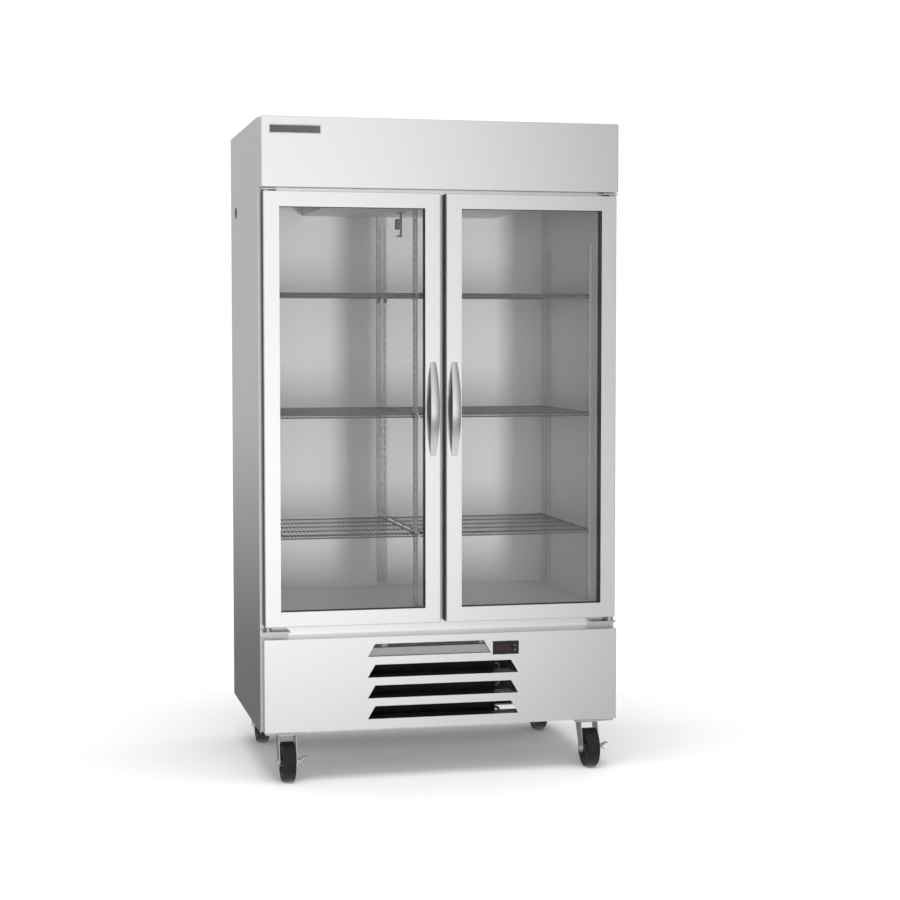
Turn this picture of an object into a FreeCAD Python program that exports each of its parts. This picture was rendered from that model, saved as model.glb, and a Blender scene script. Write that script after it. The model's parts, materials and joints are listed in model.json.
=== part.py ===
"""Two-door glass door merchandiser on casters: an upright bottom-mount display refrigerator.

Frame: +Z up, +X to the right of a person facing the doors, doors facing -Y. The origin is on the
floor, in the middle of the whole object seen from above. Millimetres throughout.
"""
import FreeCAD, Part
import math
import os
import re
import Sketcher

# Driving sizes. Each is set by itself and written once.
SIZES = {
    # the carcass and what stands forward of it
    "cabinet_width": 1194, "overall_height": 2140, "cabinet_depth": 748, "front_reach": 52,
    "handle_reach": 40, "caster_height": 155, "base_depth": 9, "lower_panel_height": 304,
    "bottom_gap": 39, "top_gap": 12, "header_height": 224, "reveal": 6, "sheet": 1.2, "flange": 20,
    "wall": 60, "floor_rise": 72, "floor_wall": 50, "liner_sheet": 1, "front_wall": 60,
    "opening_drop": 36, "frame_apron": 28, "mullion_width": 60, "mullion_depth": 42, "mullion_lap": 14,
    "bend": 2,
    # the doors
    "door_inset": 5.5, "center_gap": 21, "stile": 50, "rail": 49, "door_body": 42, "face_return": 14,
    "pane": 4, "pane_setback": 6, "pane_gap": 16, "pane_bite": 10, "gasket_inset": 12,
    "gasket_width": 20, "gasket_clear": 0.4, "hinge_inset": 12, "hinge_setback": 20, "pin_radius": 5,
    "pin_bite": 22, "running_fit": 0.06, "leaf": 5,
    "handle_length": 308, "handle_width": 29, "handle_tip": 19, "strap": 3.5,
    "plate_length": 214, "plate_width": 42, "plate_thick": 3,
    # the lower panel, its louvres and the controller
    "louvre_width": 506, "louvre_inset": 25, "louvre_height": 42, "louvre_pitch": 68,
    "louvre_count": 4, "louvre_lift": 33.5, "louvre_lean": 8, "controller_width": 88,
    "controller_height": 44, "controller_depth": 60, "controller_right": 254, "bezel": 2.5,
    "button_side": 7, "button_travel": 0.5, "button_gap": 0.3,
    # trim
    "nameplate_width": 167, "nameplate_height": 29, "nameplate_drop": 26, "nameplate_inset": 24,
    "port_length": 50, "port_height": 37, "port_back": 147, "port_drop": 250,
    # shelves and what carries them
    "shelf_lift": 255, "shelf_headroom": 285, "shelf_front": 100, "shelf_depth": 600, "shelf_end": 12,
    "shelf_split": -64, "split_gap": 8, "wire_radius": 1.5, "rod_radius": 2.5, "wire_pitch": 12.7,
    "shelf_rail": 10,
    "shelf_lip": 16, "standard_width": 19, "standard_depth": 10, "standard_sheet": 1.5,
    "standard_front": 127, "standard_back": 640, "standard_drop": 115, "slot_pitch": 25.4,
    "post_front": 150, "post_width": 14, "twin_width": 36,
    # refrigeration
    "evaporator_half": 350, "evaporator_front": 210, "evaporator_height": 130, "tube_radius": 5,
    "evaporator_fan_radius": 70, "condenser_fan_radius": 105, "compressor_radius": 78,
    # casters
    "caster_inset": 86, "caster_front": 80, "caster_back": 72, "caster_trail": 38,
    "wheel_radius": 63.5, "wheel_width": 41, "tyre_wall": 15, "tyre_round": 4, "hub_width": 50,
    "axle_radius": 6, "fork_inside": 54, "fork_sheet": 3, "fork_drop": 6, "kingpin_radius": 8,
    "mount_plate": 3, "swivel_gap": 0.4, "brake_reach": 10, "brake_width": 22,
}

# Places and lengths that follow from the sizes.
PLACES = {
    "half_width": "cabinet_width / 2",
    "front": "(handle_reach - front_reach - cabinet_depth) / 2",
    "face": "front + front_reach",
    "back": "face + cabinet_depth",
    "panel_half": "half_width - reveal",
    "base_top": "caster_height + base_depth",
    "panel_top": "base_top + lower_panel_height",
    "door_bottom": "panel_top + bottom_gap",
    "header_bottom": "overall_height - header_height",
    "door_top": "header_bottom - top_gap",
    "door_middle": "(door_bottom + door_top) / 2",
    "door_outer": "panel_half - door_inset",
    "door_inner": "center_gap / 2",
    "hinge_x": "door_outer - hinge_inset",
    "hinge_y": "front + hinge_setback",
    "handle_x": "door_inner + stile / 2",
    "interior_floor": "panel_top + floor_rise",
    "machine_top": "interior_floor - floor_wall",
    "interior_half": "half_width - wall",
    "interior_back": "back - wall",
    "interior_front": "face + front_wall",
    "ceiling": "overall_height - wall",
    "opening_top": "door_top - opening_drop",
    "mullion_half": "mullion_width / 2",
    "mouth_start": "mullion_half + mullion_lap",
    "mullion_back": "face + mullion_depth",
    "controller_left": "controller_right - controller_width",
    "controller_top": "louvre_top_bend + controller_height * 0.85",
    "controller_bottom": "controller_top - controller_height",
    "louvre_low_bend": "base_top + louvre_lift",
    "louvre_top_bend": "louvre_low_bend + louvre_pitch * (louvre_count - 1)",
    "evaporator_bottom": "opening_top + 2",
    "shelf_low": "interior_floor + shelf_lift",
    "shelf_pitch": "(evaporator_bottom - shelf_headroom - shelf_low) / 2",
    "standard_top": "evaporator_bottom - standard_drop",
    "fork_half": "fork_inside / 2 + fork_sheet",
    "fork_top": "caster_height - mount_plate - swivel_gap",
    "crown_bottom": "fork_top - fork_drop",
}

doc = FreeCAD.newDocument("glass_door_merchandiser")
sheet = doc.addObject("Spreadsheet::Sheet", "Sizes")
for row, (alias, size) in enumerate(SIZES.items(), start=1):
    sheet.set(f"A{row}", alias)
    sheet.set(f"B{row}", str(size))
    sheet.setAlias(f"B{row}", alias)

nodes = {}


def formula(text):
    """The formula in a form that FreeCAD can follow: sheet names in full, places worked out."""
    def swap(word):
        name = word.group()
        if name in PLACES:
            return "(" + formula(PLACES[name]) + ")"
        return "Sizes." + name if name in SIZES else name
    return re.sub(r"[a-z][a-z_]*", swap, text)


def number(text):
    """What a formula comes to with the sizes as they stand."""
    def swap(word):
        return repr(float(sheet.get(word.group(1))))
    return FreeCAD.Units.Quantity(re.sub(r"Sizes\.([a-z_]+)", swap, formula(text))).Value


def bind(thing, path, text):
    """Ties one property of an object to a formula."""
    thing.setExpression(path, formula(str(text)))


def move(thing, x="0", y="0", z="0"):
    """Ties an object's position to three formulas."""
    for letter, text in (("x", x), ("y", y), ("z", z)):
        bind(thing, "Placement.Base." + letter, text)


def span(side, near, far):
    """Low and high x of what lies between two distances from the middle plane, on one side."""
    if side < 0:
        return f"-({far})", f"-({near})"
    return near, far


def both(far):
    """Low and high x of what is centred on the middle plane."""
    return f"-({far})", far


def block(x, y, z):
    """A box between a low and a high formula on each axis."""
    solid = doc.addObject("Part::Box", "Block")
    for side, (low, high) in (("Length", x), ("Width", y), ("Height", z)):
        bind(solid, side, f"({high}) - ({low})")
    move(solid, x[0], y[0], z[0])
    return solid


TURNS = {
    "x": FreeCAD.Rotation(FreeCAD.Vector(0, 1, 0), 90),
    "y": FreeCAD.Rotation(FreeCAD.Vector(1, 0, 0), -90),
    "z": FreeCAD.Rotation(),
}


def rod(axis, x, y, z, radius, length):
    """A round bar that starts at a point and runs along +x, +y or +z."""
    solid = doc.addObject("Part::Cylinder", "Rod")
    solid.Placement = FreeCAD.Placement(FreeCAD.Vector(), TURNS[axis])
    bind(solid, "Radius", radius)
    bind(solid, "Height", length)
    move(solid, x, y, z)
    return solid


def hexagon(axis, x, y, z, radius, length):
    """A hexagonal head or nut that starts at a point and runs along +x, +y or +z."""
    solid = doc.addObject("Part::Prism", "Hexagon")
    solid.Polygon = 6
    solid.Placement = FreeCAD.Placement(FreeCAD.Vector(), TURNS[axis])
    bind(solid, "Circumradius", radius)
    bind(solid, "Height", length)
    move(solid, x, y, z)
    return solid


def group(*parts):
    """Several solids kept apart, in one object."""
    solid = doc.addObject("Part::Compound", "Group")
    solid.Links = list(parts)
    return solid


def fuse(*parts):
    """Several solids made one."""
    solid = doc.addObject("Part::MultiFuse", "Fuse")
    solid.Shapes = list(parts)
    solid.Refine = True
    return solid


def cut(base, *tools):
    """A solid less its tools, which don't touch each other."""
    solid = doc.addObject("Part::Cut", "Cut")
    solid.Base = base
    solid.Tool = tools[0] if len(tools) == 1 else group(*tools)
    return solid


def soften(base, radius, along):
    """Rounds a box's edges that run along the named axes."""
    doc.recompute()
    solid = doc.addObject("Part::Fillet", "Fillet")
    solid.Base = base
    edges = []
    for index, edge in enumerate(base.Shape.Edges, start=1):
        run = edge.Vertexes[1].Point - edge.Vertexes[0].Point
        if any(abs(getattr(run, axis)) > run.Length * 0.999 for axis in along):
            edges.append((index, radius, radius))
    solid.Edges = edges
    return solid


def computed(shape):
    """An object whose shape is worked out here, for wires, fins and slots by the dozen."""
    solid = doc.addObject("Part::Feature", "Computed")
    solid.Shape = shape
    return solid


def node(name, solid):
    """Names a finished sub-part."""
    solid.Label = name
    nodes[name] = solid
    return solid


def body(name):
    """An empty PartDesign body."""
    return doc.addObject("PartDesign::Body", name)


def sketch_on(owner, plane, offset="0"):
    """A sketch on one of the body's own origin planes, moved along the plane's normal."""
    sketch = owner.newObject("Sketcher::SketchObject", "Sketch")
    base = [item for item in owner.Origin.OriginFeatures if item.Role == plane][0]
    sketch.AttachmentSupport = [(base, "")]
    sketch.MapMode = "FlatFace"
    if offset != "0":
        bind(sketch, "AttachmentOffset.Base.z", offset)
    return sketch


def pin_point(sketch, geometry, end, x, y):
    """Holds a sketch point at the distances that two formulas give from the sketch's origin."""
    for kind, axis, text in (("DistanceX", -2, x), ("DistanceY", -1, y)):
        if text == "0":
            sketch.addConstraint(Sketcher.Constraint("PointOnObject", geometry, end, axis))
        else:
            rule = Sketcher.Constraint(kind, -1, 1, geometry, end, number(text))
            index = sketch.addConstraint(rule)
            bind(sketch, f"Constraints[{index}]", text)


def outline(sketch, points):
    """A closed outline. A point may carry a radius: the edge from it to the next is then an arc,
    turning left for a positive radius and right for one that starts with a minus sign."""
    spots = [FreeCAD.Vector(number(point[0]), number(point[1]), 0) for point in points]
    ends = []
    for index, point in enumerate(points):
        start, stop = spots[index], spots[(index + 1) % len(spots)]
        if len(point) == 2:
            geometry = sketch.addGeometry(Part.LineSegment(start, stop))
            ends.append((geometry, 1, 2))
            continue
        left = not point[2].startswith("-")
        radius = number(point[2].lstrip("-"))
        chord = stop - start
        lift = math.sqrt(max(radius ** 2 - (chord.Length / 2) ** 2, 0))
        normal = FreeCAD.Vector(-chord.y, chord.x, 0).normalize() * (lift if left else -lift)
        centre = (start + stop) / 2 + normal
        first, last = (start, stop) if left else (stop, start)
        low = math.atan2(first.y - centre.y, first.x - centre.x)
        high = math.atan2(last.y - centre.y, last.x - centre.x)
        circle = Part.Circle(centre, FreeCAD.Vector(0, 0, 1), radius)
        geometry = sketch.addGeometry(Part.ArcOfCircle(circle, low, high))
        rule = sketch.addConstraint(Sketcher.Constraint("Radius", geometry, radius))
        bind(sketch, f"Constraints[{rule}]", point[2].lstrip("-"))
        ends.append((geometry, 1, 2) if left else (geometry, 2, 1))
    for index, (geometry, start, stop) in enumerate(ends):
        following = ends[(index + 1) % len(ends)]
        joint = Sketcher.Constraint("Coincident", geometry, stop, following[0], following[1])
        sketch.addConstraint(joint)
        pin_point(sketch, geometry, start, *points[index][:2])


def ring(sketch, x, y, radius):
    """A circle in a sketch."""
    centre = FreeCAD.Vector(number(x), number(y), 0)
    circle = Part.Circle(centre, FreeCAD.Vector(0, 0, 1), number(radius))
    geometry = sketch.addGeometry(circle)
    rule = sketch.addConstraint(Sketcher.Constraint("Radius", geometry, number(radius)))
    bind(sketch, f"Constraints[{rule}]", radius)
    pin_point(sketch, geometry, 3, x, y)


def pad(owner, sketch, length, back=False, middle=False):
    """Grows a sketch into material."""
    feature = owner.newObject("PartDesign::Pad", "Pad")
    feature.Profile = sketch
    feature.Reversed = back
    feature.Midplane = middle
    bind(feature, "Length", length)
    return feature


def pocket(owner, sketch, length, back=False, middle=False):
    """Removes material along a sketch."""
    feature = owner.newObject("PartDesign::Pocket", "Pocket")
    feature.Profile = sketch
    feature.Reversed = back
    feature.Midplane = middle
    bind(feature, "Length", length)
    return feature


def rectangle(x, y):
    """The corner points of a rectangle."""
    return [(x[0], y[0]), (x[1], y[0]), (x[1], y[1]), (x[0], y[1])]


# ---------------------------------------------------------------- carcass

def side_panel(name, side):
    """Outer side sheet with a turned-in flange at its front and back edges."""
    height = ("caster_height", "overall_height")
    skin = block(span(side, "half_width - sheet", "half_width"), ("face", "back"), height)
    edge = span(side, "half_width - flange", "half_width")
    lip = block(edge, ("face", "face + sheet"), ("base_top", "overall_height"))
    tail = block(edge, ("back - sheet", "back"), height)
    return fuse(skin, lip, tail)


def port_span():
    """Where the blanked pipe port is in the left side: its y and z ranges."""
    along = ("back - port_back - port_length / 2", "back - port_back + port_length / 2")
    up = ("overall_height - port_drop - port_height", "overall_height - port_drop")
    return along, up


def build_carcass():
    """Outer sheets, insulation, liner, front frame and the middle post."""
    along, up = port_span()
    port_hole = block(span(-1, "half_width - 2 * sheet", "half_width + sheet"), along, up)
    node("left_side_panel", cut(side_panel("left", -1), port_hole))
    node("right_side_panel", side_panel("right", 1))
    inside = both("half_width - sheet")
    between = both("half_width - flange")
    node("back_panel", block(between, ("back - sheet", "back"), ("machine_top", "overall_height")))
    node("top_panel", block(inside, ("face + sheet", "back - sheet"),
                            ("overall_height - sheet", "overall_height")))
    node("foam_insulation", insulation())
    node("inner_liner", liner())
    node("front_frame", front_frame())
    post = block(both("mullion_half"), ("face + sheet", "mullion_back"),
                 ("interior_floor", "opening_top"))
    hollow = block(both("mullion_half - sheet"), ("face + 2 * sheet", "mullion_back - sheet"),
                   ("interior_floor - 1", "opening_top + 1"))
    node("center_mullion", cut(soften(post, 3, "z"), soften(hollow, 2, "z")))


def cavity(grow):
    """The cold space and the mouth behind the doors, each side moved out by a distance."""
    room = block(both(f"interior_half + {grow}"),
                 (f"interior_front - {grow}", f"interior_back + {grow}"),
                 (f"interior_floor - {grow}", f"ceiling + {grow}"))
    mouth = block(both(f"interior_half + {grow}"), ("face + sheet", "interior_front"),
                  (f"interior_floor - {grow}", f"opening_top + {grow}"))
    return fuse(room, mouth)


def insulation():
    """Foam between the outer sheets and the liner."""
    whole = block(both("half_width - sheet"), ("face + sheet", "back - sheet"),
                  ("machine_top", "overall_height - sheet"))
    along, up = port_span()
    recess = block(span(-1, "half_width - 4 * sheet", "half_width"), along, up)
    return cut(cut(whole, cavity("liner_sheet")), recess)


def liner():
    """Thin sheet inner box, open at the front."""
    return cut(cavity("liner_sheet"), cavity("0"))


def front_frame():
    """Sheet frame round the two openings, between the side flanges."""
    plate = block(both("half_width - flange"), ("face", "face + sheet"),
                  ("panel_top - frame_apron", "overall_height"))
    mouths = []
    for side in (-1, 1):
        mouths.append(block(span(side, "mouth_start", "interior_half"),
                            ("face - 1", "face + 2 * sheet"), ("interior_floor", "opening_top")))
    return cut(plate, *mouths)


def tray(x, y, z):
    """A box of sheet with softened edges, open at the back."""
    outer = soften(block(x, (y[0], f"{y[1]} + 2 * bend"), z), SIZES["bend"], "xyz")
    inner = block((f"{x[0]} + sheet", f"{x[1]} - sheet"), (f"{y[0]} + sheet", f"{y[1]} + 3 * bend"),
                  (f"{z[0]} + sheet", f"{z[1]} - sheet"))
    trim = block((f"{x[0]} - 1", f"{x[1]} + 1"), (y[1], f"{y[1]} + 3 * bend"),
                 (f"{z[0]} - 1", f"{z[1]} + 1"))
    return cut(cut(outer, inner), trim)


def build_header():
    """Header box above the doors with its plain maker's plate."""
    node("header_panel", tray(both("panel_half"), ("front", "face"),
                              ("header_bottom", "overall_height")))
    plate = body("Nameplate")
    blank = sketch_on(plate, "XZ_Plane")
    low = "-panel_half + nameplate_inset"
    top = "overall_height - nameplate_drop"
    wide = (low, f"{low} + nameplate_width")
    tall = (f"{top} - nameplate_height", top)
    outline(blank, rectangle(wide, tall))
    pad(plate, blank, "1.6")
    hollow = sketch_on(plate, "XZ_Plane", "0.9")
    margin = 2.5
    outline(hollow, rectangle((f"{wide[0]} + {margin}", f"{wide[1]} - {margin}"),
                              (f"{tall[0]} + {margin}", f"{tall[1]} - {margin}")))
    pocket(plate, hollow, "2", back=True)
    move(plate, y="front")
    node("nameplate", plate)


# ---------------------------------------------------------------- lower panel

def louvre_outline(bend, left, right):
    """Trapezoid cut whose long side is the bend line of its flap."""
    rise = f"{bend} + louvre_height"
    return [(left, bend), (right, bend), (f"{right} - louvre_inset", rise),
            (f"{left} + louvre_inset", rise)]


def flap(bend, left, right):
    """Sheet flap turned in along the bend line and leaning up a little."""
    shape = body("Flap")
    blank = sketch_on(shape, "XY_Plane")
    outline(blank, [(left, "0"), (right, "0"), (f"{right} - louvre_inset", "louvre_height"),
                    (f"{left} + louvre_inset", "louvre_height")])
    pad(shape, blank, "sheet")
    lean = FreeCAD.Rotation(FreeCAD.Vector(1, 0, 0), SIZES["louvre_lean"])
    shape.Placement = FreeCAD.Placement(FreeCAD.Vector(), lean)
    move(shape, "0", "front + sheet / 4", f"{bend} - sheet")
    return shape


def build_lower_panel():
    """Louvred machine compartment cover with the cutout for the controller."""
    shell = tray(both("panel_half"), ("front", "face"), ("base_top", "panel_top"))
    half = "louvre_width / 2"
    short = "controller_left - 6"
    openings = []
    flaps = []
    for index in range(SIZES["louvre_count"]):
        bend = f"louvre_low_bend + louvre_pitch * {index}"
        right = short if index == SIZES["louvre_count"] - 1 else half
        hole = body("Louvre")
        blank = sketch_on(hole, "XZ_Plane")
        outline(blank, louvre_outline(bend, f"-{half}", right))
        pad(hole, blank, "3 * sheet", middle=True)
        move(hole, y="front")
        openings.append(hole)
        flaps.append(flap(bend, f"-{half}", right))
    openings.append(block(("controller_left + bezel", "controller_right - bezel"),
                          ("front - sheet", "front + 2 * sheet"),
                          ("controller_bottom + bezel", "controller_top - bezel")))
    node("lower_panel", fuse(cut(shell, *openings), *flaps))


def build_controller():
    """Digital temperature controller, its carrier strip and its two keys."""
    wide = ("controller_left", "controller_right")
    tall = ("controller_bottom", "controller_top")
    bezel = soften(block(wide, ("front - bezel", "front"), tall), 1, "y")
    case = block(("controller_left + 5", "controller_right - 5"),
                 ("front", "front + controller_depth"),
                 ("controller_bottom + 5", "controller_top - 5"))
    window = block(("controller_left + 9", "controller_right - 26"),
                   ("front - bezel - 1", "front - bezel + 1.5"),
                   ("controller_bottom + 10", "controller_top - 10"))
    wells = []
    middle = "controller_right - 14"
    for index, name in enumerate(("temperature_down_button", "temperature_up_button")):
        height = f"controller_bottom + 14 + {index} * 15"
        reach = "button_side / 2"
        wells.append(block((f"{middle} - {reach} - button_gap", f"{middle} + {reach} + button_gap"),
                           ("front - bezel - 1", "front + 3"),
                           (f"{height} - {reach} - button_gap", f"{height} + {reach} + button_gap")))
        key = block((f"{middle} - {reach}", f"{middle} + {reach}"),
                    ("front - bezel - 1", "front + 3 - button_travel - 0.1"),
                    (f"{height} - {reach}", f"{height} + {reach}"))
        node(name, soften(key, 0.8, "y"))
    node("controller_case", cut(fuse(bezel, case), window, *wells))
    node("controller_screen", block(("controller_left + 9", "controller_right - 26"),
                                    ("front - bezel + 0.5", "front - bezel + 1.5"),
                                    ("controller_bottom + 10", "controller_top - 10")))
    wide = ("-louvre_width / 2 + 3", "controller_left + 4")
    strip = block(wide, ("front + 8", "front + 9.5"), ("louvre_top_bend + 2", "louvre_top_bend + 28"))
    shelf = block(wide, ("front + 8", "front + 24"), ("louvre_top_bend + 26.5", "louvre_top_bend + 28"))
    hanger = []
    for place in ("-louvre_width / 2 + 50", "controller_left - 40"):
        hanger.append(block((place, f"{place} + 20"), ("front + 22.5", "front + 24"),
                            ("louvre_top_bend + 26.5", "panel_top - sheet")))
    node("controller_bracket", fuse(strip, shelf, *hanger))


# ---------------------------------------------------------------- base and machine compartment

def build_base():
    """Two pressed caster rails joined by cross members, and the grille at the back."""
    rails = []
    for side in (-1, 1):
        wide = span(side, "half_width - caster_inset - 56", "half_width - 12")
        channel = block(wide, ("front + 14", "back - sheet"), ("caster_height", "base_top"))
        trough = block((f"{wide[0]} + 2", f"{wide[1]} - 2"), ("front + 16", "back - sheet - 2"),
                       ("caster_height + 2", "base_top + 1"))
        rails.append(cut(channel, trough))
        rails.append(block(span(side, "half_width - 13", "half_width - sheet"),
                           ("face + sheet", "back - sheet"), ("base_top - 3", "base_top")))
    reach = both("half_width - caster_inset - 55")
    members = []
    for along in (("face + 4", "face + 190"), ("-50", "130"), ("back - 90", "back - 10")):
        members.append(block(reach, along, ("base_top - 3", "base_top")))
    node("base_frame", fuse(*rails, *members))
    cover = block(both("half_width - flange"), ("back - sheet", "back"), ("base_top", "machine_top"))
    slots = []
    for column in range(-3, 3):
        for row in range(9):
            low_x = f"{column} * (half_width - flange) / 3.2 + 16"
            low_z = f"base_top + 44 + {row} * 28"
            slots.append(block((low_x, f"{low_x} + (half_width - flange) / 3.2 - 32"),
                               ("back - 3 * sheet", "back + sheet"), (low_z, f"{low_z} + 9")))
    node("rear_grille", cut(cover, *slots))


def coil(x, y, z, pitch):
    """A finned block between end plates, with the tube bends that stick out of one end."""
    core = block((f"{x[0]} + 2", f"{x[1]} - 2"), y, (f"{z[0]} + 3", f"{z[1]} - 3"))
    plates = [block((x[0], f"{x[0]} + 2"), y, z), block((f"{x[1]} - 2", x[1]), y, z)]
    bends = []
    count = int((number(z[1]) - number(z[0]) - 20) // (2 * pitch))
    middle = (number(y[0]) + number(y[1])) / 2
    for index in range(count):
        height = number(z[0]) + 14 + 2 * pitch * index
        axis = FreeCAD.Vector(0, 1, 0)
        centre = FreeCAD.Vector(number(x[1]), middle, height + pitch / 2)
        bend = Part.makeTorus(pitch / 2, number("tube_radius"), centre, axis)
        keep = Part.makeBox(pitch * 2, pitch * 2, pitch * 3,
                            centre - FreeCAD.Vector(0, pitch, pitch * 1.5))
        bends.append(bend.common(keep))
    return group(core, *plates, computed(Part.makeCompound(bends)))


def fan(axis_height, x, y, radius, blades):
    """Axial fan whose pitched blades grow out of a round hub, turning about the y axis."""
    rotor = body("Fan")
    disc = sketch_on(rotor, "XZ_Plane")
    ring(disc, "0", "0", "18")
    pad(rotor, disc, "24", middle=True)
    blade = rotor.newObject("Sketcher::SketchObject", "Blade")
    base = [item for item in rotor.Origin.OriginFeatures if item.Role == "XZ_Plane"][0]
    blade.AttachmentSupport = [(base, "")]
    blade.MapMode = "FlatFace"
    pitch = FreeCAD.Rotation(FreeCAD.Vector(0, 1, 0), 26)
    blade.AttachmentOffset = FreeCAD.Placement(FreeCAD.Vector(), pitch)
    reach = f"({radius})"
    outline(blade, [("-9", "12"), ("9", "12"), (f"{reach} * 0.36", f"{reach} * 0.88", reach),
                    (f"-{reach} * 0.36", f"{reach} * 0.88")])
    wing = pad(rotor, blade, "2", middle=True)
    doc.recompute()
    wheel = rotor.newObject("PartDesign::PolarPattern", "Blades")
    wheel.Originals = [wing]
    turn = [item for item in rotor.Origin.OriginFeatures if item.Role == "Y_Axis"][0]
    wheel.Axis = (turn, [""])
    wheel.Angle = 360
    wheel.Occurrences = blades
    rotor.Tip = wheel
    bore = sketch_on(rotor, "XZ_Plane")
    ring(bore, "0", "0", "3 + running_fit")
    pocket(rotor, bore, "60", middle=True)
    move(rotor, x, y, axis_height)
    return rotor


def motor(x, y, z, radius, length, shaft):
    """Small round motor whose shaft points to -y, standing on a foot."""
    can = rod("y", x, y, z, radius, length)
    spindle = rod("y", x, f"{y} - {shaft}", z, "3", shaft)
    return fuse(can, spindle)


def build_machine():
    """Condensing unit under the floor of the cold space."""
    coil_x = ("-290", "200")
    coil_y = ("face + 24", "face + 68")
    node("condenser_coil", coil(coil_x, coil_y, ("base_top", "base_top + 250"), 25))
    fan_y = "face + 104"
    fan_z = "base_top + 125"
    node("condenser_fan", fan(fan_z, "-60", fan_y, "condenser_fan_radius", 5))
    fans_behind = f"{fan_y} + 20"
    big = motor("-60", fans_behind, fan_z, "38", "62", "32")
    foot = block(("-80", "-40"), (f"{fans_behind} + 10", f"{fans_behind} + 50"),
                 ("base_top", f"{fan_z} - 30"))
    small = motor("0", "front + evaporator_front + 56", evaporator_axis(), "26", "50", "30")
    hanger = block(("-16", "16"), ("front + evaporator_front + 66", "front + evaporator_front + 96"),
                   (f"{evaporator_axis()} + 20", "ceiling"))
    node("fan_motors", group(fuse(big, foot), fuse(small, hanger)))
    node("compressor", compressor())
    box = soften(block(("-560", "-440"), ("back - 60", "back - sheet"),
                       ("base_top + 150", "base_top + 230")), 3, "y")
    socket = block(("-524", "-476"), ("back - 28", "back + 1"), ("base_top + 176", "base_top + 204"))
    pins = [block((f"-500 + {shift}", f"-498 + {shift}"), ("back - 26", "back - 12"),
                  ("base_top + 186", "base_top + 194")) for shift in (-14, -1, 12)]
    node("power_inlet", group(cut(box, socket), *pins))
    opening = block(("-526", "-474"), ("back - 3 * sheet", "back + 1"),
                    ("base_top + 174", "base_top + 206"))
    grille = nodes["rear_grille"]
    grille.Label = "rear_grille_plain"
    node("rear_grille", cut(grille, opening))


def compressor():
    """Hermetic can on a foot plate, with its terminal box."""
    can = body("Can")
    half = sketch_on(can, "XZ_Plane")
    wide = "compressor_radius"
    outline(half, [("0", "18"), (f"{wide} - 14", "18", "14"), (wide, "32"), (wide, "130", "50"),
                   (f"{wide} - 50", "180"), ("0", "180")])
    turn = can.newObject("PartDesign::Revolution", "Turn")
    turn.Profile = half
    turn.ReferenceAxis = (half, ["V_Axis"])
    turn.Angle = 360
    move(can, "330", "40", "base_top")
    plate = block(("220", "440"), ("-50", "130"), ("base_top", "base_top + 4"))
    collar = rod("z", "330", "40", "base_top + 4", f"{wide} - 26", "16")
    terminals = block((f"326 + {wide}", f"366 + {wide}"), ("10", "70"),
                      ("base_top + 70", "base_top + 130"))
    return fuse(can, plate, collar, terminals)


# ---------------------------------------------------------------- cold space fittings

def evaporator_axis():
    """Height of the evaporator fan's axis."""
    return "evaporator_bottom + 66"


def build_evaporator():
    """Ceiling evaporator: sheet cover with a fan hole, coil, fan, and the probe that hangs under it."""
    wide = both("evaporator_half")
    deep = ("front + evaporator_front", "interior_back")
    tall = ("evaporator_bottom", "evaporator_bottom + evaporator_height")
    outer = soften(block(wide, deep, tall), 2, "y")
    inner = block(both("evaporator_half - sheet"), (f"{deep[0]} + sheet", f"{deep[1]} - sheet"),
                  (f"{tall[0]} + sheet", f"{tall[1]} + 1"))
    mouth = rod("y", "0", f"{deep[0]} - 2", evaporator_axis(), "evaporator_fan_radius - 12", "6")
    trimmed = block(both("evaporator_half + 1"), deep, (f"{tall[1]} - 1", f"{tall[1]} + 1"))
    node("evaporator_housing", cut(cut(cut(outer, inner), trimmed), mouth))
    node("evaporator_fan", fan(evaporator_axis(), "0", "front + evaporator_front + 34",
                               "evaporator_fan_radius - 16", 5))
    node("evaporator_coil", coil(both("evaporator_half - 40"),
                                 ("front + evaporator_front + 150", "front + evaporator_front + 260"),
                                 ("evaporator_bottom + 14", "evaporator_bottom + 114"), 22))
    x, y = "-46", "front + 478"
    flange = block((f"{x} - 14", f"{x} + 16"), (f"{y} - 8", f"{y} + 8"),
                   ("evaporator_bottom - 2", "evaporator_bottom"))
    strap = block((f"{x} - 3", f"{x} + 5"), (f"{y} - 1", f"{y} + 1"),
                  ("evaporator_bottom - 84", "evaporator_bottom - 2"))
    hook = block((f"{x} - 14", f"{x} - 3"), (f"{y} - 1", f"{y} + 1"),
                 ("evaporator_bottom - 84", "evaporator_bottom - 78"))
    bulb = rod("z", f"{x} - 12", y, "evaporator_bottom - 58", "8", "36")
    node("temperature_probe", group(fuse(flange, strap, hook), fuse(bulb, block(
        (f"{x} - 6", f"{x} - 3"), (f"{y} - 1", f"{y} + 1"),
        ("evaporator_bottom - 44", "evaporator_bottom - 36")))))


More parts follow.
